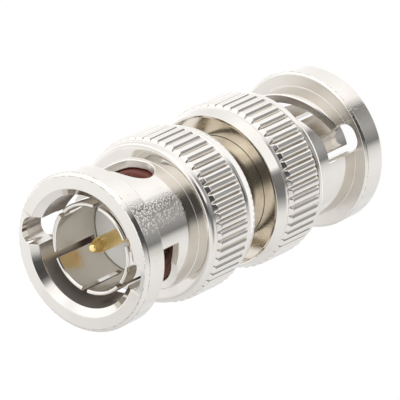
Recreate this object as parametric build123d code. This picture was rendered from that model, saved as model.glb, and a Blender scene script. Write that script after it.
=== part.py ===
from build123d import *
import math
import os

# Coaxial bayonet adapter with a plug at each end, standing on the mouth of its lower coupling nut.
# Millimetres and degrees. Z is the common axis of every turned piece.
# A station is a distance from a nut's mouth towards the middle of the adapter. Both ends share the
# same stations, so each piece is made once, mouth down, and the upper one is the same piece turned over.

# Whole adapter
overall_length = 32.8

# Running, guiding and seating clearances
running_clearance = 0.08
guide_clearance = 0.15
free_clearance = 0.3
seat_clearance = 0.02

# How far a cutter runs past the wall it cuts
cutter_overrun = 0.5

# Outer contact, a slotted tube with the flange that carries the nut
contact_radius = 4.05
contact_wall = 0.4
contact_tip_station = 1.16
contact_tip_chamfer = 0.18
slit_count = 6
slit_width = 0.45
slit_length = 4.95
slit_turn = 41.6
boss_thickness = 0.42
flange_thickness = 1.15
spigot_length = 3.0
spigot_step = 0.2

# Gasket in its groove in front of the flange
gasket_length = 1.4
gasket_groove_depth = 0.2

# Barrel, spring washers, thrust washer and retaining ring behind the flange
barrel_wall = 0.6
washer_width = 1.0
washer_strip = 0.25
washer_waves = 3
washer_steps = 8
thrust_washer_thickness = 0.5
retaining_ring_thickness = 1.0
ring_shoulder_width = 0.35

# Coupling nut, collar and tube. The gap takes the wall of the mating jack.
mating_gap = 0.85
tube_wall = 0.76
tube_length = 6.15
collar_height = 1.26
collar_length = 2.3
collar_front_chamfer = 0.3
collar_rear_chamfer = 0.1
mouth_lead_width = 0.65
mouth_lead_depth = 0.55

# Coupling nut, grip band with straight knurling
grip_wall = 0.55
grip_front_wall = 0.95
grip_front_round = 0.25
grip_front_land = 1.05
knurl_height = 0.25
knurl_length = 3.75
knurl_end_chamfer = 0.12
groove_count = 54
groove_depth = 0.32
groove_share = 0.66
rear_land = 0.7
rear_taper_length = 0.95
rear_edge_width = 0.21
rear_recess = 0.95

# Bayonet keyways and slots, two of each, half a turn apart
keyway_half_width = 1.24
keyway_cover = 0.65
keyway_corner_radius = 1.05
ramp_front_start = 3.5
ramp_front_end = 5.1
ramp_front_from = 24.0
ramp_front_to = 76.0
ramp_rear_start = 5.93
ramp_rear_end = 8.25
ramp_rear_from = 8.0
ramp_rear_to = 64.0
lock_angle = 86.0
lock_station = 6.63
lock_radius = 1.68
slot_step = 8.6

# Turn of each coupling nut about the axis
upper_nut_turn = 49.4
lower_nut_turn = -97.5

# Insulators and the double ended centre pin
insulator_station = 6.4
insulator_edge_chamfer = 0.15
pin_radius = 0.67
pin_tip_station = 1.35
pin_cone_length = 1.0
pin_tip_radius = 0.3
pin_tip_round = 0.18
pin_shoulder_round = 0.2
pin_shank_radius = 1.0
pin_collar_radius = 1.4
pin_collar_length = 1.9

# Radii that follow, outwards from the outer contact
contact_bore_radius = contact_radius - contact_wall
groove_radius = contact_radius - gasket_groove_depth
spigot_radius = contact_radius + spigot_step
nut_bore_radius = contact_radius + mating_gap
boss_radius = nut_bore_radius - free_clearance
mouth_radius = nut_bore_radius + mouth_lead_width
tube_radius = nut_bore_radius + tube_wall
collar_radius = tube_radius + collar_height
keyway_depth_radius = collar_radius - keyway_cover
barrel_radius = contact_radius + barrel_wall
ring_inner_radius = barrel_radius + running_clearance
washer_inner_radius = barrel_radius + guide_clearance
washer_outer_radius = washer_inner_radius + washer_width
cavity_radius = washer_outer_radius + free_clearance
flange_radius = cavity_radius - free_clearance
rear_bore_radius = cavity_radius + ring_shoulder_width
rear_edge_radius = rear_bore_radius + rear_edge_width
grip_radius = rear_bore_radius + grip_wall
knurl_radius = grip_radius + knurl_height

# Stations that follow, from the mouth to the middle
shoulder_face_station = collar_length + tube_length
shoulder_station = shoulder_face_station + grip_front_wall
knurl_station = shoulder_face_station + grip_front_land
knurl_end_station = knurl_station + knurl_length
nut_length = knurl_end_station + rear_land + rear_taper_length
ring_face_station = nut_length - rear_recess
ring_seat_station = ring_face_station - retaining_ring_thickness
flange_station = shoulder_station + seat_clearance
flange_end_station = flange_station + flange_thickness
gasket_end_station = flange_station - boss_thickness
gasket_station = gasket_end_station - gasket_length
groove_station = gasket_station - seat_clearance
thrust_end_station = ring_seat_station - seat_clearance
thrust_station = thrust_end_station - thrust_washer_thickness
washer_height = (thrust_station - flange_end_station) / 2 - seat_clearance
middle_station = overall_length / 2


def turned(outline):
    """Solid of revolution about Z of a closed outline of (radius, station) points."""
    face = make_face(Plane.XZ * Polyline(*outline, close=True))
    return revolve(face, Axis.Z)


def tube(inner_radius, outer_radius, start, end):
    """Plain ring between two stations."""
    return turned([(inner_radius, start), (outer_radius, start), (outer_radius, end), (inner_radius, end)])


def circles_at(piece, level):
    """Round edges of a turned piece that lie at one height."""
    rounds = piece.edges().filter_by(GeomType.CIRCLE)
    return rounds.filter_by(lambda edge: abs(edge.center().Z - level) < 1e-4)


def ramp(angle, start_angle, end_angle, start_value, end_value):
    """Straight rise between two angles, level before and after."""
    share = min(max((angle - start_angle) / (end_angle - start_angle), 0.0), 1.0)
    return start_value + share * (end_value - start_value)


def nut_blank():
    """Turned blank of the coupling nut: collar, tube, grip band and the stepped bore."""
    knurl_foot = knurl_radius - knurl_end_chamfer
    outline = [
        (mouth_radius, 0),
        (collar_radius - collar_front_chamfer, 0),
        (collar_radius, collar_front_chamfer),
        (collar_radius, collar_length - collar_rear_chamfer),
        (collar_radius - collar_rear_chamfer, collar_length),
        (tube_radius, collar_length),
        (tube_radius, shoulder_face_station),
        (grip_radius, shoulder_face_station),
        (grip_radius, knurl_station),
        (knurl_foot, knurl_station),
        (knurl_radius, knurl_station + knurl_end_chamfer),
        (knurl_radius, knurl_end_station - knurl_end_chamfer),
        (knurl_foot, knurl_end_station),
        (grip_radius, knurl_end_station),
        (grip_radius, knurl_end_station + rear_land),
        (rear_edge_radius, nut_length),
        (rear_bore_radius, nut_length),
        (rear_bore_radius, ring_seat_station),
        (cavity_radius, ring_seat_station),
        (cavity_radius, shoulder_station),
        (nut_bore_radius, shoulder_station),
        (nut_bore_radius, mouth_lead_depth),
    ]
    blank = turned(outline)
    grip_front = circles_at(blank, shoulder_face_station).sort_by(SortBy.RADIUS)[-1]
    return fillet(grip_front, grip_front_round)


def knurl_grooves():
    """Straight V grooves along the grip band, as one group of cutters."""
    pitch = 2 * math.pi * knurl_radius / groove_count
    slope = groove_share * pitch / 2 / groove_depth
    top = knurl_radius + cutter_overrun
    bottom = knurl_radius - groove_depth
    section = Polyline(
        (bottom, 0),
        (top, (top - bottom) * slope),
        (top, (bottom - top) * slope),
        close=True,
    )
    groove = extrude(make_face(section), knurl_length + 2 * cutter_overrun)
    groove = Pos(0, 0, knurl_station - cutter_overrun) * groove
    return [Rot(0, 0, 360 * index / groove_count) * groove for index in range(groove_count)]


def keyway_cutter():
    """Axial way in for a bayonet lug, from the mouth to the rear edge of the slot."""
    outline = Rectangle(keyway_depth_radius, 2 * keyway_half_width, align=(Align.MIN, Align.CENTER))
    outline = fillet(outline.vertices().group_by(Axis.X)[-1], keyway_corner_radius)
    return Pos(0, 0, -cutter_overrun) * extrude(outline, ramp_rear_start + cutter_overrun)


def slot_cutter():
    """Helical slot from the keyway to the round lock hole, lofted through upright radial sections."""
    inner = nut_bore_radius - cutter_overrun
    outer = tube_radius + cutter_overrun
    sections = []
    for index in range(round(lock_angle / slot_step) + 1):
        angle = index * slot_step
        front = ramp(angle, ramp_front_from, ramp_front_to, ramp_front_start, ramp_front_end)
        rear = ramp(angle, ramp_rear_from, ramp_rear_to, ramp_rear_start, ramp_rear_end)
        section = Polyline((inner, front), (outer, front), (outer, rear), (inner, rear), close=True)
        sections.append(Rot(0, 0, angle) * make_face(Plane.XZ * section))
    hole = Cylinder(lock_radius, outer - inner, align=(Align.CENTER, Align.CENTER, Align.MIN))
    hole = Pos(inner, 0, lock_station) * Rot(0, 90, 0) * hole
    return loft(sections) + Rot(0, 0, lock_angle) * hole


def coupling_nut():
    """Bayonet coupling nut, mouth at station zero, first keyway on +X."""
    nut = nut_blank()
    nut -= knurl_grooves()
    for turn in (0, 180):
        nut -= Rot(0, 0, turn) * keyway_cutter()
        nut -= Rot(0, 0, turn) * slot_cutter()
    return nut


def outer_contact():
    """Slotted spring contact with the gasket seat, the flange inside the nut and the rear spigot."""
    outline = [
        (contact_bore_radius + contact_tip_chamfer, contact_tip_station),
        (contact_radius - contact_tip_chamfer, contact_tip_station),
        (contact_radius, contact_tip_station + contact_tip_chamfer),
        (contact_radius, groove_station),
        (groove_radius, groove_station),
        (groove_radius, gasket_end_station),
        (boss_radius, gasket_end_station),
        (boss_radius, flange_station),
        (flange_radius, flange_station),
        (flange_radius, flange_end_station),
        (spigot_radius, flange_end_station),
        (spigot_radius, flange_end_station + spigot_length),
        (contact_bore_radius, flange_end_station + spigot_length),
        (contact_bore_radius, contact_tip_station + contact_tip_chamfer),
    ]
    contact = turned(outline)
    slit_end = contact_tip_station + slit_length
    slit = Box(2 * contact_radius, slit_width, slit_end, align=(Align.MIN, Align.CENTER, Align.MIN))
    slits = [Rot(0, 0, slit_turn + 360 * index / slit_count) * slit for index in range(slit_count)]
    return contact - slits


def barrel():
    """Centre tube that both outer contacts are pressed into."""
    start = flange_end_station
    end = overall_length - start
    return turned([
        (spigot_radius, start),
        (barrel_radius, start),
        (barrel_radius, end),
        (spigot_radius, end),
        (spigot_radius, end - spigot_length),
        (contact_bore_radius, end - spigot_length),
        (contact_bore_radius, start + spigot_length),
        (spigot_radius, start + spigot_length),
    ])


def gasket():
    """Soft sealing ring snapped into the groove at the contact's root."""
    return tube(groove_radius + seat_clearance, boss_radius, gasket_station, gasket_end_station)


def insulator():
    """Insulating plug around one half of the centre pin, with half of the collar's pocket."""
    outer = contact_bore_radius - seat_clearance
    bore = pin_shank_radius + seat_clearance
    pocket_radius = pin_collar_radius + seat_clearance
    pocket_station = middle_station - pin_collar_length / 2 - seat_clearance
    return turned([
        (bore, insulator_station),
        (outer - insulator_edge_chamfer, insulator_station),
        (outer, insulator_station + insulator_edge_chamfer),
        (outer, middle_station),
        (pocket_radius, middle_station),
        (pocket_radius, pocket_station),
        (bore, pocket_station),
    ])


def centre_pin():
    """Double ended centre contact: coned tips, thicker shank and a captive collar in the middle."""
    cone_station = pin_tip_station + pin_cone_length
    shank_station = insulator_station + seat_clearance
    collar_station = middle_station - pin_collar_length / 2
    half = [
        (0, pin_tip_station),
        (pin_tip_radius, pin_tip_station),
        (pin_radius, cone_station),
        (pin_radius, shank_station),
        (pin_shank_radius, shank_station),
        (pin_shank_radius, collar_station),
        (pin_collar_radius, collar_station),
    ]
    other_half = [(radius, overall_length - station) for radius, station in reversed(half)]
    pin = turned(half + other_half)
    for station, size in ((pin_tip_station, pin_tip_round), (cone_station, pin_shoulder_round)):
        for level in (station, overall_length - station):
            pin = fillet(circles_at(pin, level), size)
    return pin


def wave_washer(start, crest_turn):
    """Flat wire ring bent into waves, lofted through upright radial sections over each third of a turn."""
    swing = (washer_height - washer_strip) / 2
    middle = start + washer_height / 2
    piece_angle = 360 / washer_waves
    pieces = []
    for wave in range(washer_waves):
        sections = []
        for step in range(washer_steps + 1):
            angle = wave * piece_angle + step * piece_angle / washer_steps
            level = middle + swing * math.cos(math.radians(washer_waves * (angle - crest_turn)))
            low = level - washer_strip / 2
            high = level + washer_strip / 2
            section = Polyline(
                (washer_inner_radius, low),
                (washer_outer_radius, low),
                (washer_outer_radius, high),
                (washer_inner_radius, high),
                close=True,
            )
            sections.append(Rot(0, 0, angle) * make_face(Plane.XZ * section))
        pieces.append(loft(sections))
    return pieces[0] + pieces[1:]


def thrust_washer():
    """Flat washer between the spring washers and the retaining ring."""
    return tube(ring_inner_radius, washer_outer_radius, thrust_station, thrust_end_station)


def retaining_ring():
    """Ring pressed into the rear of the nut, which holds the nut on the barrel."""
    return tube(ring_inner_radius, rear_bore_radius, ring_seat_station, ring_face_station)


def upper(piece):
    """The same piece at the upper end, turned over about X."""
    return Pos(0, 0, overall_length) * Rot(180, 0, 0) * piece


def adapter():
    """Every piece by name, at its place in the standing adapter."""
    nut = coupling_nut()
    contact = outer_contact()
    half_wave = 180 / washer_waves
    end_pieces = {
        "outer_contact": contact,
        "gasket": gasket(),
        "insulator": insulator(),
        "wave_washer_front": wave_washer(flange_end_station + seat_clearance, 0),
        "wave_washer_rear": wave_washer(thrust_station - washer_height, half_wave),
        "thrust_washer": thrust_washer(),
        "retaining_ring": retaining_ring(),
    }
    pieces = {"barrel": barrel(), "centre_pin": centre_pin()}
    pieces["coupling_nut_upper"] = Rot(0, 0, upper_nut_turn) * upper(nut)
    pieces["coupling_nut_lower"] = Rot(0, 0, lower_nut_turn) * nut
    for name, piece in end_pieces.items():
        pieces[name + "_upper"] = upper(piece)
        pieces[name + "_lower"] = piece
    return pieces


os.makedirs("parts", exist_ok=True)
for node, solid in adapter().items():
    export_step(solid, os.path.join("parts", node + ".step"))
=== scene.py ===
import math

import bmesh
import bpy
import numpy as np
from mathutils import Matrix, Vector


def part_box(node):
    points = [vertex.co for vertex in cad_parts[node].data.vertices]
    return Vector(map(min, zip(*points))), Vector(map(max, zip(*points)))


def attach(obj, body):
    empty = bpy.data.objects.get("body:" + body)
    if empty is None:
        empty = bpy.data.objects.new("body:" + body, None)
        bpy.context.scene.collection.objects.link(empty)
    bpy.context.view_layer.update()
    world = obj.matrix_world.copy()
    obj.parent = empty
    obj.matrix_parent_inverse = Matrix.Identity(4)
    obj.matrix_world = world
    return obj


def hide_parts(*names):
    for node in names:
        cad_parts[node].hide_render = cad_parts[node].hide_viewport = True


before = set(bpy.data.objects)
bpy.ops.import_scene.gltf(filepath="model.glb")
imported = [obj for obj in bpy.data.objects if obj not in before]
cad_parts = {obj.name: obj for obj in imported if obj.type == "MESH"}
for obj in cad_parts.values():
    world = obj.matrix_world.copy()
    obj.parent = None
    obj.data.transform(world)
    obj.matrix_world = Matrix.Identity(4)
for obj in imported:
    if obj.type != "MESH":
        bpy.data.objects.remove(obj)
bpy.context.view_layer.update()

bl_info = {
    "name": "Bayonet coaxial adapter",
    "version": (1, 0, 0),
    "blender": (4, 5, 0),
    "location": "3D View > Sidebar > Adapter",
    "description": "Turned surfaces, plated finishes and a pale studio for a plug to plug bayonet adapter",
    "category": "Object",
}

MM = 0.001
LENGTH = max(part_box("coupling_nut_upper")[1])
SIDES = ("lower", "upper")
MOST_CUT = 0.62  # the largest share of a straight run that one corner's round may take
FLANK = 0.35  # share of the cut by which one more point stands off a round, to keep the shading flat
MERGE, SLIVER = 4e-7, 1e-7  # metres between points that are joined, and length of edges that are dissolved
TINY = 1e-12  # keeps a divisor above zero
SHARP = 38  # degrees between two faces past which their edge stays sharp
ROUND, INNER_ROUND, PIN_ROUND, FINGER_ROUND = 256, 180, 96, 26  # columns round a turned piece

# Columns from the bottom of one groove to the next, as shares of the way, closer together near the bottoms
TOOTH_SHARES = np.array([0, 0.025, 0.06, 0.11, 0.18, 0.28, 0.39, 0.5, 0.61, 0.72, 0.82, 0.89, 0.94, 0.975])

# Noise patterns: scale in waves per metre, detail and roughness
PATTERNS = {
    "turning": (9000.0, 3.0, 0.6),
    "fine turning": (31000.0, 2.0, 0.5),
    "clouds": (420.0, 3.0, 0.55),
    "speckle": (16000.0, 2.0, 0.6),
    "grain": (5600.0, 1.0, 0.5),
    "drag": (5200.0, 2.0, 0.6),
    # speckle that breaks up the painted shade lines along the collar's rims
    "painted_rim_shade": (2600.0, 3.0, 0.7),
    "gold turning": (14000.0, 2.0, 0.5),
    "gold clouds": (900.0, 2.0, 0.5),
    "soft clouds": (500.0, 3.0, 0.5),
    "plastic grain": (9000.0, 3.0, 0.6),
    "silicone grain": (12000.0, 3.0, 0.6),
}

# Levels of the noise between which a mark fades in; the last band breaks up the painted shade lines along the
# collar's rims
PIT_BAND, WORN_BAND, GRAIN_BAND, RIM_SHADE_BAND = (0.62, 0.72), (0.45, 0.8), (0.5, 0.74), (0.46, 0.62)

# Shares of the radius along X between which the coarse grain fades in and out again
GRAIN_IN, GRAIN_OUT = (-0.22, -0.04), (0.14, 0.36)

# Depths of the marks, in metres
TURNING_DEPTH, PIT_DEPTH, GRAIN_DEPTH, DRAG_DEPTH = 7e-7, 4e-7, 2.6e-5, 9e-6
GOLD_DEPTH, PLASTIC_DEPTH, SILICONE_DEPTH = 5e-7, 1.2e-6, 1.5e-6
DRAG_SQUEEZE = 0.04  # share of the height that the drag marks see, which draws them out along the axis

# Brightness of the dome round the compass, as (degrees, level), in bands from low down to high up
DOME_LOW = [
    (-180, 1.04), (-160, 1.11), (-150, 1.10), (-140, 1.04), (-130, 0.83), (-121, 0.26), (-110, 0.38),
    (-100, 0.475), (-90, 0.45), (-80, 0.385), (-68, 0.31), (-61, 0.85), (-52, 1.32), (-40, 1.38),
    (-30, 1.36), (-10, 1.26), (15, 1.22), (40, 1.245), (70, 1.36), (88, 1.30), (98, 0.85), (130, 0.88),
    (140, 1.0), (150, 0.95), (170, 1.02), (180, 1.04),
]
DOME_MIDDLE = [
    (-180, 1.04), (-160, 1.10), (-150, 1.0), (-140, 0.6), (-130, 0.25), (-118, 0.2), (-104, 0.25),
    (-100, 0.5), (-95, 1.3), (-60, 1.3), (-50, 1.36), (-40, 1.4), (-30, 1.4), (-10, 1.24), (15, 1.14),
    (45, 1.2), (70, 1.33), (88, 1.22), (98, 0.85), (130, 0.87), (150, 0.91), (170, 1.0), (180, 1.04),
]
DOME_RAISED = [
    (-180, 1.08), (-145, 1.1), (-130, 0.8), (-120, 0.3), (-112, 0.09), (-92, 0.065), (-78, 0.09),
    (-68, 0.5), (-58, 1.25), (-48, 1.45), (-30, 1.55), (30, 1.45), (60, 1.35), (92, 1.15), (110, 0.9),
    (150, 0.95), (180, 1.08),
]
DOME_HIGH = [
    (-180, 1.04), (-165, 1.10), (-145, 1.09), (-130, 0.82), (-120, 0.3), (-112, 0.09), (-92, 0.065),
    (-78, 0.09), (-68, 0.45), (-58, 1.2), (-48, 1.4), (-30, 1.5), (-10, 1.2), (10, 1.02), (50, 1.12),
    (70, 1.28), (92, 1.1), (110, 0.80), (150, 0.86), (170, 0.99), (180, 1.04),
]

# Where the camera stands, in metres, and its three axes
CAMERA_PLACE = (-0.17 * MM, -421.03 * MM, 478.31 * MM)
CAMERA_RIGHT = (-0.42444, -0.66886, -0.61029)
CAMERA_UP = (0.90545, -0.31354, -0.28608)
CAMERA_BACK = (0.0, -0.67401, 0.73870)
KEY_PLACE = (0.18, -0.12, 0.35)  # metres

# Sockets of a Mix node that mixes colours
MIX_FACTOR, MIX_FIRST, MIX_SECOND, MIX_RESULT = 0, 6, 7, 2


def number(name, description, value, **limits):
    return bpy.props.FloatProperty(name=name, description=description, default=value, **limits)


def size(name, description, millimetres):
    return number(
        name, description, millimetres * MM, min=0, precision=5, subtype="DISTANCE", unit="LENGTH"
    )


def angle(name, description, degrees):
    return number(name, description, math.radians(degrees), subtype="ANGLE", unit="ROTATION")


def share(name, description, value, most=1.0):
    return number(name, description, value, min=0, max=most, subtype="FACTOR")


def colour(name, description, value):
    return bpy.props.FloatVectorProperty(
        name=name, description=description, default=value, size=3, min=0, max=2, subtype="COLOR"
    )


def count(name, description, value, least):
    return bpy.props.IntProperty(name=name, description=description, default=value, min=least)


class AdapterNut(bpy.types.PropertyGroup):
    """Sizes of the two coupling nuts."""

    collar_radius: size("Collar radius", "Outside of the ring at the mouth", 6.92)
    collar_length: size("Collar length", "Length of the ring at the mouth", 2.5)
    collar_chamfer: size("Collar chamfer", "Chamfer on the collar's front edge", 0.3)
    collar_rear_chamfer: size("Collar rear chamfer", "Chamfer on the collar's rear edge", 0.2)
    face_fall: size("Face fall", "How far the mouth's face falls back towards its rim", 0.07)
    mouth_radius: size("Mouth radius", "Wide end of the lead into the bore", 5.55)
    lead_depth: size("Lead depth", "Depth of the lead into the bore", 0.55)
    bore_radius: size("Bore radius", "Inside of the collar and the tube", 4.9)
    tube_radius: size("Tube radius", "Outside of the slotted tube", 5.66)
    fillet: size("Fillet", "Hollow round where the tube meets the collar and the grip band", 0.12)
    shoulder: size("Shoulder", "Distance from the mouth to the grip band's front face", 8.55)
    grip_radius: size("Grip radius", "Outside of the plain rings beside the knurling", 7.0)
    grip_round: size("Grip round", "Round on the grip band's front edge", 0.6)
    ring_end: size("Ring end", "Distance from the mouth to the end of the ring before the teeth", 9.32)
    relief_radius: size("Relief radius", "Bottom of the narrow grooves at both ends of the teeth", 6.92)
    knurl_radius: size("Knurl radius", "Outside of the knurled teeth", 7.25)
    knurl_start: size("Knurl start", "Distance from the mouth to the teeth", 9.42)
    knurl_end: size("Knurl end", "Distance from the mouth to the far end of the teeth", 13.5)
    tooth_chamfer: size("Tooth chamfer", "Chamfer at both ends of a tooth", 0.29)
    groove_depth: size("Groove depth", "Depth of the grooves between the teeth", 0.31)
    tooth_power: share("Tooth power", "2 is a parabola, and more is flatter on top", 3.3, 8.0)
    grooves: count("Grooves", "Number of grooves round the grip band", 54, 12)
    relief_width: size("Relief width", "Width of the narrow groove behind the teeth", 0.12)
    land_start: size("Land start", "Distance from the teeth's end to the ring behind them", 0.2)
    land_end: size("Land end", "Distance from the mouth to where the rear ring starts to taper", 13.95)
    land_round: size("Land round", "Round where the rear ring starts to taper", 0.42)
    nut_length: size("Nut length", "Whole length of the nut", 14.88)
    rear_edge: size("Rear edge radius", "Outside of the nut's rear face", 6.7)
    rear_bore: size("Rear bore radius", "Bore that takes the retaining ring", 6.45)
    cavity_radius: size("Cavity radius", "Inside of the grip band round the flange", 6.1)
    cavity_start: size("Cavity start", "Distance from the mouth to the cavity", 9.4)
    ring_bore: size("Ring bore radius", "Inside of the retaining ring", 4.68)
    ring_start: size("Retaining ring start", "Distance from the mouth to the retaining ring", 12.95)
    ring_face: size("Retaining ring face", "Distance from the mouth to the ring's outer face", 13.95)
    edge_break: size("Edge break", "Small round on every turned edge", 0.05)
    turn_lower: angle("Turn, lower", "Turn of the lower nut about the axis", -97.5)
    turn_upper: angle("Turn, upper", "Turn of the upper nut about the axis", 49.4)


class AdapterSlot(bpy.types.PropertyGroup):
    """Sizes of the bayonet keyways and slots."""

    keyway_half_width: size("Keyway half width", "Half the width of the lug's way in", 1.24)
    keyway_depth: size("Keyway depth", "Radius that the keyway reaches in the collar", 6.27)
    keyway_corner: size("Keyway corner", "Round in the keyway's corners", 1.05)
    front_start: size("Front edge start", "Distance from the mouth to the front edge at the keyway", 3.66)
    front_end: size("Front edge end", "Distance from the mouth to the front edge at the lock", 4.93)
    front_to: angle("Front edge turn", "Angle from the keyway to where the front edge is level", 80)
    front_power: share("Front edge curve", "1 is a straight ramp, and more levels out sooner", 1.6, 8.0)
    rear_start: size("Rear edge start", "Distance from the mouth to the rear edge at the keyway", 5.93)
    rear_end: size("Rear edge end", "Distance from the mouth to the rear edge at the lock", 8.25)
    rear_from: angle("Rear edge start turn", "Angle from the keyway to where the rear edge climbs", 8)
    rear_to: angle("Rear edge end turn", "Angle from the keyway to where the rear edge is level", 64)
    lock_turn: angle("Lock turn", "Angle from the keyway to the round lock hole", 86)
    lock_station: size("Lock station", "Distance from the mouth to the middle of the lock hole", 6.63)
    lock_radius: size("Lock radius", "Radius of the round lock hole", 1.68)
    edge_break: size("Slot edge break", "Small chamfer along the slot's edges", 0.09)


class AdapterCore(bpy.types.PropertyGroup):
    """Sizes of the pieces inside the nuts."""

    contact_radius: size("Contact radius", "Outside of the slotted outer contact", 4.05)
    contact_bore: size("Contact bore", "Inside of the slotted outer contact", 3.65)
    contact_tip: size("Contact tip", "Distance from the mouth to the contact's tip", 1.16)
    slit_width: size("Slit width", "Width of the slits in the contact", 0.6)
    slit_end: size("Slit end", "Distance from the mouth to the slits' closed ends", 6.11)
    slit_turn: angle("Slit turn", "Turn of the first slit about the axis", 41.6)
    lower_turn: angle("Contact turn, lower", "Further turn of the lower contact about the axis", 27.1)
    slits: count("Slits", "Number of slits in the contact", 6, 2)
    tip_chamfer: size("Tip chamfer", "Chamfer on the contact's tip", 0.12)
    seat_radius: size("Gasket seat radius", "Bottom of the gasket's groove", 3.85)
    gasket_start: size("Gasket start", "Distance from the mouth to the gasket", 7.6)
    gasket_end: size("Gasket end", "Distance from the mouth to the gasket's far side", 9.0)
    gasket_upper: size("Gasket radius, upper", "Outside of the upper gasket, which fills the bore", 4.82)
    gasket_lower: size("Gasket radius, lower", "Outside of the lower gasket", 4.25)
    gasket_round: size("Gasket round", "Round on the gaskets' edges", 0.22)
    boss_radius: size("Boss radius", "Outside of the contact behind the gasket", 4.6)
    flange_start: size("Flange start", "Distance from the mouth to the flange", 9.42)
    flange_end: size("Flange end", "Distance from the mouth to the flange's rear face", 10.57)
    flange_radius: size("Flange radius", "Outside of the flange inside the nut", 5.8)
    spigot_radius: size("Spigot radius", "Outside of the spigot in the barrel", 4.25)
    spigot_length: size("Spigot length", "Length of the spigot in the barrel", 3.0)
    pin_radius: size("Pin radius", "Radius of the centre contact", 0.67)
    pin_tip: size("Pin tip", "Distance from the mouth to the pin's tip", 1.35)
    pin_cone: size("Pin cone", "Length of the cone at the pin's tip", 1.0)
    pin_tip_radius: size("Pin tip radius", "Small end of the cone", 0.3)
    pin_tip_round: size("Pin tip round", "Round at the small end of the cone", 0.16)
    pin_cone_round: size("Pin cone round", "Round where the cone meets the pin", 0.3)
    shank_radius: size("Shank radius", "Radius of the pin inside the insulator", 1.0)
    insulator_face: size("Insulator face", "Distance from the mouth to the insulator's face", 6.4)
    insulator_round: size("Insulator round", "Round on the insulator's edges", 0.12)
    barrel_radius: size("Barrel radius", "Outside of the barrel between the nuts", 4.65)
    edge_break: size("Core edge break", "Small round on the barrel's and the pin's edges", 0.05)
    seat: size("Seat", "Clearance between seated pieces", 0.02)


class AdapterFinish(bpy.types.PropertyGroup):
    """Colours and wear of the materials."""

    plate: colour("Plate", "Polished nickel plating", (0.74, 0.70, 0.64))
    plate_worn: colour("Plate, dulled", "Plating where it has dulled a little", (0.70, 0.65, 0.58))
    barrel: colour("Barrel", "Nickel plate on the barrel and the retaining rings", (0.75, 0.685, 0.58))
    barrel_worn: colour("Barrel patches", "Deeper tone in patches on the barrel", (0.58, 0.51, 0.41))
    gold: colour("Gold", "Plating on the centre contact", (1.0, 0.76, 0.31))
    gold_patch: colour("Gold patches", "Deeper tone in patches on the gold", (0.96, 0.70, 0.30))
    insulator: colour("Insulator", "Waxy white plastic", (0.90, 0.90, 0.88))
    gasket: colour("Gasket", "Dark red silicone", (0.15, 0.034, 0.019))
    steel: colour("Spring steel", "Wave washers", (0.42, 0.41, 0.39))
    steel_patch: colour("Steel patches", "Deeper tone in patches on the steel", (0.33, 0.31, 0.28))
    brass: colour("Brass", "Thrust washers", (0.60, 0.46, 0.26))
    brass_patch: colour("Brass patches", "Deeper tone in patches on the brass", (0.45, 0.31, 0.15))
    roughness: share("Plate roughness", "Roughness of the polished plating", 0.06)
    inside_roughness: share("Roughness inside", "Added roughness of bores, keyways and walls", 0.24)
    gold_roughness: share("Gold roughness", "Roughness of the centre contact", 0.27)
    insulator_roughness: share("Insulator roughness", "Roughness of the white plastic", 0.42)
    gasket_roughness: share("Gasket roughness", "Roughness of the silicone", 0.45)
    haze: share("Haze", "Share of light that bores and walls scatter instead of mirroring", 0.12)
    contact_dull: share("Contact dullness", "Dullness of the contact's bore, of 1 in a nut's bore", 0.5)
    barrel_dull: share("Barrel dullness", "Dullness of the barrel, of 1 in a nut's bore", 0.25)
    # Painted shade: how dark the lines painted along the collar's rims are, standing in for the dark
    # reflections at those edges
    rim_shade_strength: share("Rim darkness", "How dark the worn lines are", 0.4)
    turning: share("Turning marks", "Strength of the fine marks left by turning", 1.0, 4.0)
    pits: share("Pits", "Strength of the tiny pits in the plating", 1.0, 4.0)
    # Where the painted shade lines run along the collar's rims; these lines stand in for dark reflections,
    # not worn plating
    rim_radius: size("Rim radius", "Where the mouth's face ends and a thin worn line starts", 6.62)
    rim_front: size("Rim front", "Distance from the mouth to the worn line behind the chamfer", 0.37)
    rim_rear: size("Rim rear", "Distance from the mouth to the worn line at the collar's rear", 2.3)
    rim_width: size("Rim width", "Half the width of the worn lines", 0.035)
    rim_inner: size("Rim inner radius", "Radius outside which the collar's worn lines run", 6.5)
    face_depth: size("Face depth", "Distance from the mouth within which a surface is its face", 0.3)
    lead_end: size("Lead end", "Distance from the mouth to where the collar's bore is dull", 0.6)
    keyway_reach: size("Keyway reach", "Radius inside which the collar is dull", 6.4)
    collar_end: size("Collar end", "Distance from the mouth to where the dull slots start", 2.4)
    rear_reach: size("Rear face reach", "Radius inside which the collar's rear face is dull", 6.7)
    rear_end: size("Rear face end", "Distance from the mouth to just past the rear face", 2.55)
    wall_reach: size("Wall reach", "Radius inside which slots and bore are dull", 5.6)
    bore_end: size("Bore end", "Distance from the mouth to where the dull bore ends", 12.9)
    contact_reach: size("Contact reach", "Radius inside which the contact is dull", 3.75)
    contact_from: size("Contact start", "Distance from the mouth to the contact's dull bore", 1.3)
    drag_from: size("Drag start", "Distance from the mouth to the drag marks", 9.4)
    drag_to: size("Drag end", "Distance from the mouth to the end of the drag marks", 13.5)
    grain_from: size("Grain start", "Distance from the mouth to the coarse grain", 0.5)
    grain_fade: size("Grain fade", "Distance from the mouth to where the grain starts to fade", 6.6)
    grain_to: size("Grain end", "Distance from the mouth to where the grain has gone", 8.0)
    grain_lower: share("Grain, lower", "Strength of the grain on the lower nut, of 1 on the upper", 0.2)
    drag: share("Drag marks", "Strength of the marks that the knurling left along the teeth", 1.0, 4.0)
    grain: share("Grain", "Strength of the coarse grain on one side of the nuts' fronts", 1.0, 4.0)


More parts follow.
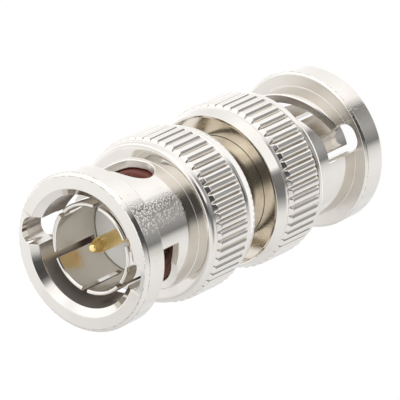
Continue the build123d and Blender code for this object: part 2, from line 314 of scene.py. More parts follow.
class AdapterStudio(bpy.types.PropertyGroup):
    """Camera, lamps and floor."""

    lens: number("Lens", "Focal length in millimetres on a 36 mm sensor", 670.0, min=1)
    key_power: number("Key lamp", "Power of the large soft lamp", 0.35, min=0, unit="POWER")
    key_width: size("Key width", "Width of the large soft lamp", 250)
    floor_half: size("Floor half width", "From the axis to the floor's edges", 6000)
    floor_drop: size("Floor drop", "Gap between the object and the floor", 0.02)
    paper: colour("Paper", "The floor as it lights the object", (0.8, 0.8, 0.8))
    white: colour("White", "The floor as the camera sees it, and the light on dull surfaces", (1, 1, 1))
    floor_glow: share("Floor glow", "Brightness of the floor as the camera sees it", 1.02, 4.0)
    floor_seen: share("Floor seen", "Share of that brightness in what the camera sees", 0.95)
    dome_level: share("Dome level", "Brightness of the pale dome round the object", 1.0, 4.0)
    zenith_level: share("Zenith level", "Brightness straight above the object", 1.35, 4.0)
    nadir_level: share("Nadir level", "Brightness straight below the object", 1.3, 4.0)


def spans(*stretches):
    """Rising values in stretches of (start, end, count), each evenly divided and without its end, and the
    last end added."""
    values = [np.linspace(start, end, steps, endpoint=False) for start, end, steps in stretches]
    return np.concatenate(values + [[stretches[-1][1]]])


def eased(outline, cuts, steps=3):
    """Corners of closed outlines (..., n, 2) turned into quadratic curves: from the point one cut before the
    corner to the point one cut after it, pulled to the corner, with one more point outside each end."""
    before = np.roll(outline, 1, axis=-2) - outline
    after = np.roll(outline, -1, axis=-2) - outline
    reach_before = np.linalg.norm(before, axis=-1, keepdims=True)
    reach_after = np.linalg.norm(after, axis=-1, keepdims=True)
    cuts = np.broadcast_to(np.asarray(cuts, float), outline.shape[:-1])[..., None]
    cut = np.minimum(cuts, MOST_CUT * np.minimum(reach_before, reach_after))
    start = outline + before / np.maximum(reach_before, TINY) * cut
    end = outline + after / np.maximum(reach_after, TINY) * cut
    t = np.linspace(0, 1, steps + 1)[:, None]
    first, corner, last = start[..., None, :], outline[..., None, :], end[..., None, :]
    curve = (1 - t) ** 2 * first + 2 * t * (1 - t) * corner + t**2 * last
    wide_first = first + (first - corner) * FLANK
    wide_last = last + (last - corner) * FLANK
    rows = np.concatenate([wide_first, curve, wide_last], axis=-2)
    return rows.reshape(*outline.shape[:-2], -1, 2)


def part_eased(outline, cuts, visible, steps):
    """The first corners eased, as many as are visible, and the other corners left sharp."""
    outline = np.asarray(outline, float)
    soft = eased(outline, cuts, steps)[: visible * (steps + 3)]
    return np.concatenate([soft, outline[visible:]])


def cylindrical(radius, degrees, station):
    """Points (radius cos angle, radius sin angle, station) for arrays of radius, angle and station."""
    radius, degrees, station = np.broadcast_arrays(radius, degrees, station)
    turn = np.radians(degrees)
    return np.stack([radius * np.cos(turn), radius * np.sin(turn), station], axis=-1)


def turned(outline, columns=ROUND):
    """Closed outline (n, 2) of (radius, station) carried once round the axis, as one grid of points."""
    degrees = np.linspace(0, 360, columns + 1)[:, None]
    loop = np.concatenate([outline, outline[:1]])
    return [cylindrical(loop[None, :, 0], degrees, loop[None, :, 1])]


def sector(outline, start, end, columns):
    """Closed outline carried from one angle to another, with a flat wall at each end made of strips between
    the outline's points counted from its two ends."""
    degrees = np.linspace(start, end, columns)[:, None]
    loop = np.concatenate([outline, outline[:1]])
    half = len(outline) // 2
    walls = []
    for side in (start, end):
        pair = np.stack([outline[:half], outline[::-1][:half]])
        walls.append(cylindrical(pair[..., 0], side, pair[..., 1]))
    return [cylindrical(loop[None, :, 0], degrees, loop[None, :, 1])] + walls


def half_turned(patches):
    """The same patches again, half a turn about the axis further on."""
    return patches + [patch * [-1, -1, 1] for patch in patches]


def keyway_wall(slot, turn, arc_start, arc_end):
    """How far the keyway reaches at each turn from its middle, in polar form: depth / cos at its end, the arc
    of its corner, and half width / sin along its side."""
    half, depth, corner = slot.keyway_half_width, slot.keyway_depth, slot.keyway_corner
    centre = np.array([depth - corner, half - corner])
    reach = np.linalg.norm(centre)
    lean = turn - math.atan2(centre[1], centre[0])
    arc = reach * np.cos(lean) + np.sqrt(np.maximum(corner**2 - (reach * np.sin(lean)) ** 2, 0))
    side = half / np.maximum(np.sin(turn), TINY)
    keyway = np.where(turn < arc_end, arc, side)
    keyway = np.where(turn < arc_start, depth / np.cos(turn), keyway)
    keyway[turn > math.radians(90)] = 0
    return keyway


def collar_patches(nut, slot):
    """Ring at the mouth, whose wall inside is the greater of its bore and the keyway's reach, from one
    keyway to the next, and again half a turn on."""
    half, depth, corner = slot.keyway_half_width, slot.keyway_depth, slot.keyway_corner
    arc_start = math.degrees(math.atan2(half - corner, depth))
    arc_end = math.degrees(math.atan2(half, depth - corner))
    edge = math.degrees(math.asin(half / nut.bore_radius))
    degrees = spans(
        (-edge, -arc_end, 6), (-arc_end, -arc_start, 10), (-arc_start, arc_start, 6),
        (arc_start, arc_end, 10), (arc_end, edge, 6), (edge, 180 - edge, 100),
    )
    turn = np.radians(np.abs(degrees))
    keyway = keyway_wall(slot, turn, math.radians(arc_start), math.radians(arc_end))
    inner = np.maximum(nut.bore_radius, keyway)
    front = np.maximum(nut.mouth_radius, keyway)
    slope = nut.lead_depth / (nut.mouth_radius - nut.bore_radius)
    lead = slope * (nut.mouth_radius - np.minimum(inner, nut.mouth_radius))
    radius, front_cut, rear_cut = nut.collar_radius, nut.collar_chamfer, nut.collar_rear_chamfer
    end, fall = nut.collar_length, nut.face_fall
    neck = np.maximum(inner, nut.tube_radius)
    rear = end + np.where(inner < nut.tube_radius, nut.fillet, 0)
    corners = (
        (front, 0), (radius - front_cut, fall), (radius, fall + front_cut), (radius, end - rear_cut),
        (radius - rear_cut, end), (neck, end), (neck, rear), (inner, rear), (inner, lead),
    )
    outline = np.stack([np.stack(np.broadcast_arrays(*pair, inner)[:2], -1) for pair in corners], axis=1)
    fine, face = nut.edge_break, 1.6 * nut.edge_break
    rows = eased(outline, np.array([fine, face, face, fine, fine, nut.fillet, 0, 0, fine]), 6)
    rows = np.concatenate([rows, rows[:, :1]], axis=1)
    return half_turned([cylindrical(rows[..., 0], degrees[:, None], rows[..., 1])])


class SlotEdges:
    """Edges of one bayonet slot on the unrolled tube, grown by an easing: the keyway's sides at plus and
    minus its half width, a curve in front, a straight ramp behind, and the lock hole's circle where it
    reaches further."""

    FRONT, WEB, TIP = 60, 40, 20  # columns along the front edge, between two slots and round the hole
    LEVEL, CLIMB, TOP = 14, 40, 16  # columns along the rear edge before its climb, on it and past it
    NEAR = 60  # degrees on both sides of the lock that its hole can't reach past
    TOUCH = 1.0001  # how much of its radius the hole still takes in, for the sake of rounding

    def __init__(self, nut, slot, ease):
        self.nut, self.slot, self.ease = nut, slot, ease
        self.hole = slot.lock_radius + ease
        self.lock = math.degrees(slot.lock_turn)
        self.rear_run = math.degrees(slot.rear_from), math.degrees(slot.rear_to)
        self.half = math.degrees(math.asin((slot.keyway_half_width + ease) / nut.tube_radius))
        self.end = self.lock + math.degrees(math.asin(self.hole / nut.tube_radius))
        sweep = np.radians(np.linspace(0, 90, self.TIP))
        self.tip = self.lock + np.degrees(np.arcsin(self.hole * np.sin(sweep) / nut.tube_radius))
        self.front_columns = np.concatenate([spans((self.half, self.lock, self.FRONT))[:-1], self.tip])
        start, end = self.rear_run
        rear = spans((-self.half, start, self.LEVEL), (start, end, self.CLIMB), (end, self.lock, self.TOP))
        self.rear_columns = np.concatenate([rear[:-1], self.tip])
        self.web_columns = np.linspace(self.end - 180, -self.half, self.WEB)

    def hole_reach(self, degrees):
        """How far the lock hole reaches to front and rear of its middle, and where it is open at all."""
        across = self.nut.tube_radius * np.sin(np.radians(degrees - self.lock))
        near = np.abs(degrees - self.lock) < self.NEAR
        reach = np.where(near, np.sqrt(np.maximum(self.hole**2 - across**2, 0)), 0)
        return reach, near & (np.abs(across) <= self.hole * self.TOUCH)

    def front(self, degrees):
        """Stations of the slot's front edge."""
        reach, inside = self.hole_reach(degrees)
        slot, level = self.slot, math.degrees(self.slot.front_to)
        left = np.clip((level - degrees) / (level - self.half), 0, 1)
        fall = (slot.front_end - slot.front_start) * left**slot.front_power
        ramp = slot.front_end - fall - self.ease
        hole = np.where(inside, slot.lock_station - reach, LENGTH)
        return np.where(degrees > self.lock, hole, np.minimum(ramp, hole))

    def rear(self, degrees):
        """Stations of the slot's rear edge."""
        reach, inside = self.hole_reach(degrees)
        slot = self.slot
        ramp = np.interp(degrees, self.rear_run, [slot.rear_start, slot.rear_end]) + self.ease
        hole = np.where(inside, slot.lock_station + reach, 0)
        return np.where(degrees > self.lock, hole, np.maximum(ramp, hole))


def tube_patches(nut, slot):
    """Slotted tube. Each wall is three grids, in front of the slot, behind it and between two slots, whose
    rows run straight from the slot's edge to the tube's end. The slot's own wall is a grid of its edge,
    carried inwards with a small chamfer at both rims."""
    first, last = nut.collar_length + nut.fillet, nut.shoulder - nut.fillet
    ease, out, bore = slot.edge_break, nut.tube_radius, nut.bore_radius
    steps = ((out, ease), (out - ease, 0), (bore + ease, 0), (bore, ease))
    front_rows, rear_rows = 10, 8
    down = np.linspace(0, 1, front_rows)[:, None]
    up = np.linspace(0, 1, rear_rows)[:, None]
    patches, walls, front_caps, rear_caps = [], [], [], []
    for radius, grown in steps:
        edges = SlotEdges(nut, slot, grown)
        front_columns, rear_columns, web_columns = edges.front_columns, edges.rear_columns, edges.web_columns
        front, rear = edges.front(front_columns), edges.rear(rear_columns)
        left = np.linspace(first, rear[0], front_rows)
        right = np.linspace(front[0], first, front_rows)
        path_angle = np.concatenate([
            np.full(front_rows, -edges.half), rear_columns[1:], front_columns[::-1][1:],
            np.full(front_rows, edges.half)[1:],
        ])
        path_station = np.concatenate([left, rear[1:], front[::-1][1:], right[1:]])
        walls.append(cylindrical(radius, path_angle, path_station))
        web = web_columns[1:] + 180
        front_caps.append(cylindrical(radius, np.concatenate([front_columns, web]), first))
        rear_caps.append(cylindrical(radius, np.concatenate([rear_columns, web]), last))
        if radius in (out, bore):
            patches.append(cylindrical(radius, front_columns, first + (front - first) * down))
            patches.append(cylindrical(radius, rear_columns, rear + (last - rear) * up))
            tip = slot.lock_station
            far = np.concatenate([first + (tip - first) * down, (tip + (last - tip) * up)[1:]])
            near = np.concatenate([left[:, None], (rear[0] + (last - rear[0]) * up)[1:]])
            along = np.linspace(0, 1, len(web_columns))
            patches.append(cylindrical(radius, web_columns, far + (near - far) * along))
    patches += [np.stack(walls), np.stack(front_caps), np.stack(rear_caps)]
    return half_turned(patches)


def grip_patches(nut):
    """Grip band: an outline carried round the axis, where the radius of the knurled stretch is the lesser of
    the outline and the teeth. From its crest a tooth falls by the groove's depth times a power of twice the
    distance from the crest, counted in teeth."""
    low, high, end = nut.knurl_start, nut.knurl_end, nut.nut_length
    grip, crest, relief = nut.grip_radius, nut.knurl_radius, nut.relief_radius
    tube, bore, cavity, rear_bore = nut.tube_radius, nut.bore_radius, nut.cavity_radius, nut.rear_bore
    joint, blunt, edge = nut.shoulder - nut.fillet, nut.tooth_chamfer, nut.edge_break
    fine, soft = 0.6 * edge, 2 * edge
    seen = [
        (tube, joint, 0), (tube, nut.shoulder, nut.fillet), (grip, nut.shoulder, nut.grip_round),
        (grip, nut.ring_end, edge), (relief, nut.ring_end, fine), (relief, low, fine),
        (crest, low + blunt, soft), (crest, high - blunt, soft), (relief, high, fine),
        (relief, high + nut.relief_width, fine), (grip, high + nut.land_start, fine),
        (grip, nut.land_end, nut.land_round), (nut.rear_edge, end, edge), (rear_bore, end, edge),
    ]
    hidden = [
        (rear_bore, nut.ring_start, 0), (cavity, nut.ring_start, 0), (cavity, nut.cavity_start, 0),
        (bore, nut.cavity_start, 0), (bore, joint, 0),
    ]
    corners = np.array(seen + hidden)
    rows = part_eased(corners[:, :2], corners[:, 2], len(seen), 4)
    columns = np.append((np.arange(nut.grooves)[:, None] + TOOTH_SHARES).ravel(), nut.grooves)
    from_crest = 0.5 - np.abs(columns - np.round(columns))
    tooth = crest - nut.groove_depth * (2 * from_crest) ** nut.tooth_power
    radius, station = rows[None, :, 0], rows[None, :, 1]
    knurled = (station > nut.ring_end + SLIVER) & (station < high - SLIVER) & (radius > relief)
    radius = np.where(knurled, np.minimum(radius, tooth[:, None]), radius)
    grid = cylindrical(radius, columns[:, None] * 360 / nut.grooves, station)
    return [np.concatenate([grid, grid[:, :1]], axis=1)]


def contact_patches(core):
    """Outer contact: sprung fingers, each a closed outline carried over its part of the turn, on a turned
    root."""
    out, inside, tip, end = core.contact_radius, core.contact_bore, core.contact_tip, core.slit_end
    cut, groove, seat = core.tip_chamfer, core.gasket_start - core.seat, core.seat_radius
    boss, flange, spigot = core.boss_radius, core.flange_radius, core.spigot_radius
    behind, start, stop = core.gasket_end, core.flange_start, core.flange_end
    finger = np.array([
        (out, end), (out, tip + cut), (out - cut, tip), (inside + cut, tip), (inside, tip + cut),
        (inside, end),
    ])
    corner_rows = 6
    soft = eased(finger, 0.4 * cut)[corner_rows:-corner_rows]
    finger = np.concatenate([finger[:1], soft, finger[-1:]])
    half = math.degrees(core.slit_width / 2 / out)
    pitch = 360 / core.slits
    patches = []
    for index in range(core.slits):
        from_turn = math.degrees(core.slit_turn) + index * pitch
        patches += sector(finger, from_turn + half, from_turn + pitch - half, FINGER_ROUND)
    root = np.array([
        (out, end), (out, groove), (seat, groove), (seat, behind), (boss, behind), (boss, start),
        (flange, start), (flange, stop), (spigot, stop), (spigot, stop + core.spigot_length),
        (inside, stop + core.spigot_length), (inside, end),
    ])
    return patches + turned(root, INNER_ROUND)


def placed(points, side, turn):
    """A piece modelled mouth down, put at its end of the adapter: turned over about X for the upper end, then
    about Z."""
    if side == "upper":
        points = points * [1, -1, -1] + [0, 0, LENGTH]
    cosine, sine = math.cos(turn), math.sin(turn)
    x, y, z = np.moveaxis(points, -1, 0)
    return np.stack([x * cosine - y * sine, x * sine + y * cosine, z], axis=-1)


def build_mesh(name, patches):
    """One mesh from grids of points, with shared edges joined and faces pointing outwards."""
    vertices, faces, start = [], [], 0
    for patch in patches:
        rows, columns = patch.shape[:2]
        index = start + np.arange(rows * columns).reshape(rows, columns)
        corners = (index[:-1, :-1], index[1:, :-1], index[1:, 1:], index[:-1, 1:])
        vertices.append(patch.reshape(-1, 3))
        faces.append(np.stack(corners, axis=-1).reshape(-1, 4))
        start += rows * columns
    mesh = bpy.data.meshes.new(name)
    mesh.from_pydata(np.concatenate(vertices).tolist(), [], np.concatenate(faces).tolist())
    form = bmesh.new()
    form.from_mesh(mesh)
    bmesh.ops.remove_doubles(form, verts=form.verts, dist=MERGE)
    bmesh.ops.dissolve_degenerate(form, edges=form.edges, dist=SLIVER)
    bmesh.ops.recalc_face_normals(form, faces=form.faces)
    form.to_mesh(mesh)
    form.free()
    if not mesh.polygons:
        raise RuntimeError(f"{name} has no faces: its sizes leave nothing to build")
    mesh.polygons.foreach_set("use_smooth", np.ones(len(mesh.polygons), bool))
    mesh.set_sharp_from_angle(angle=math.radians(SHARP))
    return mesh


def add_piece(name, patches, body, node, material):
    """Object for one piece, riding on its body in place of its node."""
    piece = bpy.data.objects.new(name, build_mesh(name, patches))
    bpy.context.scene.collection.objects.link(piece)
    piece.data.materials.append(material)
    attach(piece, body)
    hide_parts(node)


class Link:
    """A value on its way through a shader. Sums, products and powers of it add Math nodes."""

    def __init__(self, shader, socket):
        self.shader, self.socket = shader, socket

    def math(self, operation, *values):
        return self.shader.node("ShaderNodeMath", {"operation": operation}, dict(enumerate(values)))

    def __add__(self, other):
        return self.math("ADD", self, other)

    def __radd__(self, other):
        return self.math("ADD", other, self)

    def __sub__(self, other):
        return self.math("SUBTRACT", self, other)

    def __rsub__(self, other):
        return self.math("SUBTRACT", other, self)

    def __mul__(self, other):
        return self.math("MULTIPLY", self, other)

    def __rmul__(self, other):
        return self.math("MULTIPLY", other, self)

    def __truediv__(self, other):
        return self.math("DIVIDE", self, other)

    def __pow__(self, other):
        return self.math("POWER", self, other)

    def __gt__(self, other):
        return self.math("GREATER_THAN", self, other)

    def __lt__(self, other):
        return self.math("LESS_THAN", self, other)

    def at_most(self, other):
        return self.math("MINIMUM", self, other)

    def magnitude(self):
        return self.math("ABSOLUTE", self)

    def between(self, low, high):
        """0 below low, 1 above high, smooth in between."""
        values = {"Value": self, "From Min": low, "From Max": high}
        return self.shader.node("ShaderNodeMapRange", {"interpolation_type": "SMOOTHSTEP"}, values)


class Shader:
    """The node tree of a material or of the world."""

    def __init__(self, tree):
        self.tree = tree
        tree.nodes.clear()

    def node(self, kind, settings=None, values=None, output=0):
        """New node: its settings first, then the values or links of its sockets. Returns one of its outputs,
        by name or number, where it has any."""
        node = self.tree.nodes.new(kind)
        for name, value in (settings or {}).items():
            if name == "stops":
                self.set_stops(node.color_ramp, value)
            else:
                setattr(node, name, value)
        for name, value in (values or {}).items():
            if isinstance(value, Link):
                self.tree.links.new(value.socket, node.inputs[name])
            else:
                node.inputs[name].default_value = value
        return Link(self, node.outputs[output]) if len(node.outputs) else None

    @staticmethod
    def set_stops(ramp, stops):
        """Grey levels of a ramp, from pairs of place and level."""
        while len(ramp.elements) < len(stops):
            ramp.elements.new(0.5)
        for element, (position, value) in zip(ramp.elements, stops):
            element.position = position
            element.color = (value, value, value, 1)

    def mix(self, factor, first, second):
        """Colour between two colours."""
        values = {MIX_FACTOR: factor, MIX_FIRST: (*first, 1), MIX_SECOND: (*second, 1)}
        return self.node("ShaderNodeMix", {"data_type": "RGBA"}, values, MIX_RESULT)

    def fade(self, factor, first, second):
        """One shader fading into another."""
        return self.node("ShaderNodeMixShader", None, {0: factor, 1: first, 2: second})

    def scaled(self, tint, factor):
        """Colour times a number."""
        tint = tint if isinstance(tint, Link) else (*tint, 1)
        grey = self.node("ShaderNodeCombineColor", None, {"Red": factor, "Green": factor, "Blue": factor})
        settings = {"data_type": "RGBA", "blend_type": "MULTIPLY"}
        values = {MIX_FACTOR: 1.0, MIX_FIRST: tint, MIX_SECOND: grey}
        return self.node("ShaderNodeMix", settings, values, MIX_RESULT)

    def parts(self, vector):
        """The x, y and z of a vector."""
        return [self.node("ShaderNodeSeparateXYZ", None, {"Vector": vector}, axis) for axis in "XYZ"]

    def point(self):
        """Object coordinates."""
        return self.node("ShaderNodeTexCoord", output="Object")

    def place(self):
        """Object coordinates: the point, its distance from the axis and its station from the nearer mouth."""
        point = self.point()
        x, y, z = self.parts(point)
        radius = (x * x + y * y) ** 0.5
        station = LENGTH / 2 - (z - LENGTH / 2).magnitude()
        return point, radius, station

    def noise(self, vector, pattern):
        scale, detail, roughness = PATTERNS[pattern]
        values = {"Vector": vector, "Scale": scale, "Detail": detail, "Roughness": roughness}
        return self.node("ShaderNodeTexNoise", {"noise_dimensions": "3D"}, values)

    def vector(self, x, y, z):
        return self.node("ShaderNodeCombineXYZ", None, {"X": x, "Y": y, "Z": z})

    def bump(self, height, distance, normal=None):
        values = {"Height": height, "Distance": distance, "Strength": 1.0}
        if normal:
            values["Normal"] = normal
        return self.node("ShaderNodeBump", None, values)

    def surface(self, **values):
        """Principled surface, with socket names written with underscores."""
        values = {name.replace("_", " "): value for name, value in values.items()}
        closure = self.node("ShaderNodeBsdfPrincipled", None, values)
        self.node("ShaderNodeOutputMaterial", None, {"Surface": closure})


def new_material(name):
    material = bpy.data.materials.new(name)
    material.use_nodes = True
    return material, Shader(material.node_tree)


def plated(name, finish, bright, worn, inside=None, coarse=False):
    """Metal plate: turning marks that follow radius and station, tiny pits, and cloudy patches in colour and
    roughness. inside takes the finish, the radius and the station, and says where the surface is a duller
    bore or milled wall. A coarse plate also has grain, drag marks, and painted shade: dark lines painted
    along the collar's rims in place of the dark reflections at those edges."""
    material, shader = new_material(name)
    point, radius, station = shader.place()
    turned_place = shader.vector(radius, 0.0, station)
    marks = shader.noise(turned_place, "turning")
    fine_marks = shader.noise(turned_place, "fine turning")
    clouds = shader.noise(point, "clouds")
    speckle = shader.noise(point, "speckle")
    pits = speckle.between(*PIT_BAND)
    tint = shader.mix(clouds.between(*WORN_BAND), bright, worn)
    level = 0.985 + 0.03 * clouds - 0.05 * pits * finish.pits
    base = shader.scaled(tint, level)
    roughness = finish.roughness + 0.05 * (clouds - 0.5) + 0.04 * (marks - 0.5) + 0.12 * pits
    metal = 1.0 - 0.15 * finish.haze
    if inside:
        dull = inside(finish, radius, station)
        roughness = roughness + dull * finish.inside_roughness
        metal = metal - dull * finish.haze
    lines = shader.bump(marks * 0.7 + fine_marks * 0.3, TURNING_DEPTH * finish.turning)
    normal = shader.bump(speckle, PIT_DEPTH * finish.pits, lines)
    if coarse:
        grain = shader.noise(point, "grain").between(*GRAIN_BAND)
        grain = grain * grainy_part(shader, finish, point, radius, station)
        normal = shader.bump(grain, GRAIN_DEPTH * finish.grain, normal)
        x, y, z = shader.parts(point)
        drag = shader.noise(shader.vector(x, y, z * DRAG_SQUEEZE), "drag")
        drag = drag * (station > finish.drag_from) * (station < finish.drag_to)
        normal = shader.bump(drag, DRAG_DEPTH * finish.drag, normal)
        # Painted shade: dark lines, broken up by noise, darken the colour along the collar's rims where the
        # edges mirror dark surroundings
        painted_rim_shade = shader.noise(point, "painted_rim_shade").between(*RIM_SHADE_BAND) * collar_rim_shade_lines(finish, radius, station)
        base = shader.scaled(base, 1.0 - finish.rim_shade_strength * painted_rim_shade)
    shader.surface(Base_Color=base, Metallic=metal, Roughness=roughness, Normal=normal)
    return material


def nut_inside(finish, radius, station):
    """Keyways and bore of the collar behind the lead, its rear face, walls of the slots, and the bore behind
    them."""
    behind = station > finish.collar_end
    collar = (radius < finish.keyway_reach) * (station > finish.lead_end) * (station < finish.collar_end)
    rear_face = (radius < finish.rear_reach) * behind * (station < finish.rear_end)
    bore = (radius < finish.wall_reach) * behind * (station < finish.bore_end)
    return (collar + rear_face + bore).at_most(1.0)


def barrel_all(finish, radius, station):
    """All of the barrel and of the retaining rings."""
    return (radius > 0.0) * finish.barrel_dull


def contact_inside(finish, radius, station):
    """Bore of the outer contact."""
    return (radius < finish.contact_reach) * (station > finish.contact_from) * finish.contact_dull


def collar_rim_shade_lines(finish, radius, station):
    """Where painted shade goes: thin dark lines along the two edges of the collar's front chamfer and along
    its rear edge, in place of the dark reflections there.
    """
    width = finish.rim_width
    rims = ((radius - finish.rim_radius).magnitude() < width) * (station < finish.face_depth)
    for level in (finish.rim_front, finish.rim_rear):
        rims = rims + ((station - level).magnitude() < width) * (radius > finish.rim_inner)
    return rims.at_most(1.0)


def grainy_part(shader, finish, point, radius, station):
    """The collar and the slotted tube, outside, over the part of the turn that faces -Y and a little +X."""
    x, y, z = shader.parts(point)
    across = x / radius
    facing = across.between(*GRAIN_IN) * (1.0 - across.between(*GRAIN_OUT)) * (y < 0.0)
    fading = station.between(finish.grain_fade, finish.grain_to)
    outside = (radius > finish.wall_reach) * (station > finish.grain_from) * (1.0 - fading)
    upper = finish.grain_lower + (1.0 - finish.grain_lower) * (z > LENGTH / 2)
    return facing * outside * upper


def soft_material(name, tint, roughness, pattern, depth):
    """Moulded soft material: cloudy colour, fine grain in the surface."""
    material, shader = new_material(name)
    point = shader.point()
    clouds = shader.noise(point, "soft clouds")
    small = shader.noise(point, pattern)
    base = shader.scaled(tint, 0.9 + 0.14 * clouds + 0.08 * (small - 0.5))
    uneven = roughness + 0.12 * (small - 0.5)
    shader.surface(Base_Color=base, Roughness=uneven, Normal=shader.bump(small, depth))
    return material


def gold_material(name, finish):
    """Gold plate with fine turning marks and a slightly deeper tone in patches."""
    material, shader = new_material(name)
    point, radius, station = shader.place()
    marks = shader.noise(shader.vector(radius, 0.0, station), "gold turning")
    base = shader.mix(shader.noise(point, "gold clouds"), finish.gold, finish.gold_patch)
    uneven = finish.gold_roughness + 0.1 * (marks - 0.5)
    normal = shader.bump(marks, GOLD_DEPTH)
    shader.surface(Base_Color=base, Metallic=1.0 - finish.haze, Roughness=uneven, Normal=normal)
    return material


def materials_of(context):
    """The materials by use, each made once and found by its name afterwards."""
    finish = context.scene.adapter_finish
    plate, plate_worn = finish.plate, finish.plate_worn
    barrel, barrel_worn = finish.barrel, finish.barrel_worn
    plastic = (finish.insulator, finish.insulator_roughness, "plastic grain", PLASTIC_DEPTH)
    silicone = (finish.gasket, finish.gasket_roughness, "silicone grain", SILICONE_DEPTH)
    recipes = {
        "nut": ("nut_plate", plated, finish, plate, plate_worn, nut_inside, True),
        "body": ("body_plate", plated, finish, barrel, barrel_worn, barrel_all),
        "contact": ("contact_plate", plated, finish, plate, plate_worn, contact_inside),
        "gold": ("gold_plate", gold_material, finish),
        "insulator": ("white_plastic", soft_material, *plastic),
        "gasket": ("red_silicone", soft_material, *silicone),
        "spring": ("spring_steel", plated, finish, finish.steel, finish.steel_patch),
        "washer": ("washer_brass", plated, finish, finish.brass, finish.brass_patch),
    }
    found = bpy.data.materials.get
    return {use: found(name) or make(name, *rest) for use, (name, make, *rest) in recipes.items()}


class ADAPTER_OT_nuts(bpy.types.Operator):
    """Add both bayonet coupling nuts and their retaining rings"""

    bl_idname = "adapter.nuts"
    bl_label = "Coupling nuts"

    def execute(self, context):
        nut, slot = context.scene.adapter_nut, context.scene.adapter_slot
        finish = materials_of(context)
        shell = collar_patches(nut, slot) + tube_patches(nut, slot) + grip_patches(nut)
        inside, outside, start, end = nut.ring_bore, nut.rear_bore, nut.ring_start, nut.ring_face
        section = np.array([(inside, start), (outside, start), (outside, end), (inside, end)])
        ring = turned(eased(section, 0.3 * nut.edge_break))
        pieces = (
            ("bayonet_nut", "coupling_nut", "nut", shell),
            ("rear_ring", "retaining_ring", "body", ring),
        )
        for side, turn in (("lower", nut.turn_lower), ("upper", nut.turn_upper)):
            for name, node, metal, patches in pieces:
                patches = [placed(patch, side, turn) for patch in patches]
                add_piece(f"{name}_{side}", patches, f"nut_{side}", f"{node}_{side}", finish[metal])
        return {"FINISHED"}


class ADAPTER_OT_contacts(bpy.types.Operator):
    """Add the slotted outer contacts, the insulators, the gaskets and the centre pin"""

    bl_idname = "adapter.contacts"
    bl_label = "Contacts and insulators"

    def execute(self, context):
        core = context.scene.adapter_core
        finish = materials_of(context)
        bore, shank = core.contact_bore - core.seat, core.shank_radius + core.seat
        face, start, end = core.insulator_face, core.gasket_start, core.gasket_end
        plug = np.array([(shank, face), (bore, face), (bore, LENGTH / 2), (shank, LENGTH / 2)])
        plug = turned(eased(plug, core.insulator_round), INNER_ROUND)
        for side in SIDES:
            seat, reach = core.seat_radius + core.seat, getattr(core, f"gasket_{side}")
            gasket = np.array([(seat, start), (reach, start), (reach, end), (seat, end)])
            gasket = turned(eased(gasket, core.gasket_round), INNER_ROUND)
            pieces = (
                ("plug_contact", "outer_contact", "contact_plating", "contact", contact_patches(core)),
                ("plug_insulator", "insulator", "insulator", "insulator", plug),
                ("plug_gasket", "gasket", "gasket", "gasket", gasket),
            )
            turn = core.lower_turn if side == "lower" else 0.0
            for name, node, slot, material, patches in pieces:
                patches = [placed(patch, side, turn) for patch in patches]
                add_piece(f"{name}_{side}", patches, "core", f"{node}_{side}", finish[material])
        self.add_pin(core, finish["gold"])
        return {"FINISHED"}

    def add_pin(self, core, gold):
        tip, thin, cone = core.pin_tip, core.pin_radius, core.pin_tip + core.pin_cone
        face, edge = core.insulator_face + core.seat, core.edge_break
        half = np.array([
            (0, tip), (core.pin_tip_radius, tip), (thin, cone), (thin, face), (core.shank_radius, face),
        ])
        outline = np.concatenate([half, (half * [1, -1] + [0, LENGTH])[::-1]])
        cuts = [0, core.pin_tip_round, core.pin_cone_round, edge, edge]
        pin = turned(eased(outline, np.array(cuts + cuts[::-1]), 5), PIN_ROUND)
        add_piece("contact_pin", pin, "core", "centre_pin", gold)


class ADAPTER_OT_barrel(bpy.types.Operator):
    """Add the barrel between the nuts and finish the washers round it"""

    bl_idname = "adapter.barrel"
    bl_label = "Barrel and washers"

    def execute(self, context):
        core = context.scene.adapter_core
        finish = materials_of(context)
        start, end = core.flange_end, LENGTH - core.flange_end
        inside, step, out = core.contact_bore, core.spigot_radius, core.barrel_radius
        near, far = start + core.spigot_length, end - core.spigot_length
        outline = np.array([
            (step, start), (out, start), (out, end), (step, end), (step, far), (inside, far), (inside, near),
            (step, near),
        ])
        barrel = turned(eased(outline, core.edge_break))
        add_piece("adapter_barrel", barrel, "core", "barrel", finish["body"])
        washers = (
            ("wave_washer_front", "spring"), ("wave_washer_rear", "spring"), ("thrust_washer", "washer"),
        )
        for side in SIDES:
            for node, material in washers:
                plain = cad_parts[f"{node}_{side}"]
                plain.data.materials.clear()
                plain.data.materials.append(finish[material])
        return {"FINISHED"}


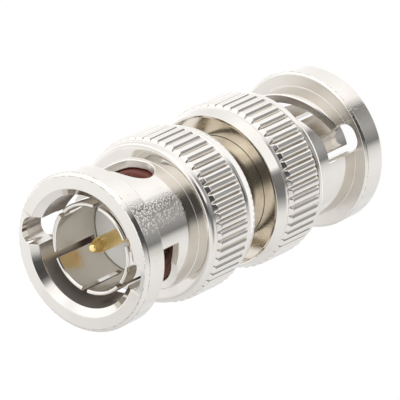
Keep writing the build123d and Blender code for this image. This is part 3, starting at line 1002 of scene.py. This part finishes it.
class ADAPTER_OT_stage(bpy.types.Operator):
    """Set up the floor, the soft lamps, the pale dome and the camera"""

    bl_idname = "adapter.stage"
    bl_label = "Studio"

    def execute(self, context):
        studio = context.scene.adapter_studio
        context.scene.view_settings.view_transform = "Standard"
        self.add_floor(context, studio)
        self.add_dome(context, studio)
        self.add_key(context, studio)
        self.add_camera(context, studio)
        return {"FINISHED"}

    def add_floor(self, context, studio):
        """White paper under the object, which the camera sees as light. Its material shows the same light to
        mirrors, but the floor is hidden from them.
        """
        mesh = bpy.data.meshes.new("studio_floor")
        corners = np.array([(-1, -1), (1, -1), (1, 1), (-1, 1)]) * studio.floor_half
        corners = [(x, y, -studio.floor_drop) for x, y in corners.tolist()]
        mesh.from_pydata(corners, [], [(0, 1, 2, 3)])
        floor = bpy.data.objects.new("studio_floor", mesh)
        context.scene.collection.objects.link(floor)
        floor.visible_glossy = False
        material, shader = new_material("studio_paper")
        rays = ("Is Camera Ray", "Is Glossy Ray", "Is Transmission Ray")
        camera, glossy, through = (shader.node("ShaderNodeLightPath", output=ray) for ray in rays)
        seen = (camera + glossy + through) * studio.floor_seen
        paper = shader.node("ShaderNodeBsdfDiffuse", None, {"Color": (*studio.paper, 1)})
        light = {"Color": (*studio.white, 1), "Strength": studio.floor_glow}
        glow = shader.node("ShaderNodeEmission", None, light)
        shader.node("ShaderNodeOutputMaterial", None, {"Surface": shader.fade(seen, paper, glow)})
        mesh.materials.append(material)

    def add_dome(self, context, studio):
        """Pale dome. Metal sees its brightness by compass direction, in bands from low down to high up:
        bright all round, with one broad dark panel in front that reaches from below nearly to the zenith."""
        world = bpy.data.worlds.new("studio_dome")
        world.use_nodes = True
        context.scene.world = world
        shader = Shader(world.node_tree)
        x, y, z = shader.parts(shader.node("ShaderNodeTexCoord", output="Generated"))
        compass = shader.node("ShaderNodeMath", {"operation": "ARCTAN2"}, {0: y, 1: x})
        place = compass / (2 * math.pi) + 0.5
        level = self.ring(shader, place, DOME_LOW)
        bands = (
            (self.ring(shader, place, DOME_MIDDLE), -0.62, -0.45),
            (self.ring(shader, place, DOME_RAISED), -0.1, 0.15),
            (self.ring(shader, place, DOME_HIGH), 0.5, 0.68),
            (studio.zenith_level, 0.90, 0.97),
            (studio.nadir_level, -0.86, -0.92),
        )
        for band, start, end in bands:
            level = level + (band - level) * z.between(start, end)
        tint = {"Red": level * 0.98, "Green": level, "Blue": level * 1.04}
        pale = shader.node("ShaderNodeCombineColor", None, tint)
        glossy = shader.node("ShaderNodeLightPath", output="Is Glossy Ray")
        mirrored = shader.node("ShaderNodeBackground", None, {"Color": pale, "Strength": studio.dome_level})
        plain = shader.node("ShaderNodeBackground", None, {"Color": (*studio.white, 1), "Strength": 1.0})
        shader.node("ShaderNodeOutputWorld", None, {"Surface": shader.fade(glossy, plain, mirrored)})

    def ring(self, shader, place, levels):
        """Brightness round the compass, from pairs of degrees and level."""
        stops = [((degrees + 180) / 360, float(level) / 2) for degrees, level in levels]
        grey = shader.node("ShaderNodeValToRGB", {"stops": stops}, {"Fac": place})
        return shader.node("ShaderNodeSeparateColor", None, {"Color": grey}) * 2.0

    def add_key(self, context, studio):
        lamp = bpy.data.lights.new("key_lamp", "AREA")
        lamp.shape, lamp.size, lamp.energy = "DISK", studio.key_width, studio.key_power
        key = bpy.data.objects.new("key_lamp", lamp)
        key.visible_glossy = False
        key.location = KEY_PLACE
        key.rotation_euler = key.location.to_track_quat("Z", "Y").to_euler()
        context.scene.collection.objects.link(key)

    def add_camera(self, context, studio):
        lens = bpy.data.cameras.new("photo_camera")
        lens.lens, lens.sensor_width, lens.clip_end = studio.lens, 36, 50
        camera = bpy.data.objects.new("photo_camera", lens)
        axes = Matrix((CAMERA_RIGHT, CAMERA_UP, CAMERA_BACK)).transposed()
        camera.matrix_world = Matrix.Translation(CAMERA_PLACE) @ axes.to_4x4()
        context.scene.collection.objects.link(camera)
        context.scene.camera = camera


class ADAPTER_PT_panel(bpy.types.Panel):
    """Sizes, finishes and the steps that build the adapter"""

    bl_idname = "ADAPTER_PT_panel"
    bl_label = "Bayonet adapter"
    bl_space_type = "VIEW_3D"
    bl_region_type = "UI"
    bl_category = "Adapter"

    def draw(self, context):
        for operator in OPERATORS:
            self.layout.operator(operator.bl_idname)
        for name, group in GROUPS.items():
            box = self.layout.box()
            box.label(text=group.__doc__)
            for entry in group.__annotations__:
                box.prop(getattr(context.scene, name), entry)


GROUPS = {
    "adapter_nut": AdapterNut,
    "adapter_slot": AdapterSlot,
    "adapter_core": AdapterCore,
    "adapter_finish": AdapterFinish,
    "adapter_studio": AdapterStudio,
}
OPERATORS = (ADAPTER_OT_nuts, ADAPTER_OT_contacts, ADAPTER_OT_barrel, ADAPTER_OT_stage)


def register():
    for name, group in GROUPS.items():
        bpy.utils.register_class(group)
        setattr(bpy.types.Scene, name, bpy.props.PointerProperty(type=group))
    for entry in (*OPERATORS, ADAPTER_PT_panel):
        bpy.utils.register_class(entry)


def unregister():
    for entry in (ADAPTER_PT_panel, *reversed(OPERATORS)):
        bpy.utils.unregister_class(entry)
    for name, group in reversed(list(GROUPS.items())):
        delattr(bpy.types.Scene, name)
        bpy.utils.unregister_class(group)


def main():
    register()
    bpy.ops.adapter.stage()
    bpy.ops.adapter.nuts()
    bpy.ops.adapter.contacts()
    bpy.ops.adapter.barrel()


if __name__ == "__main__":
    main()
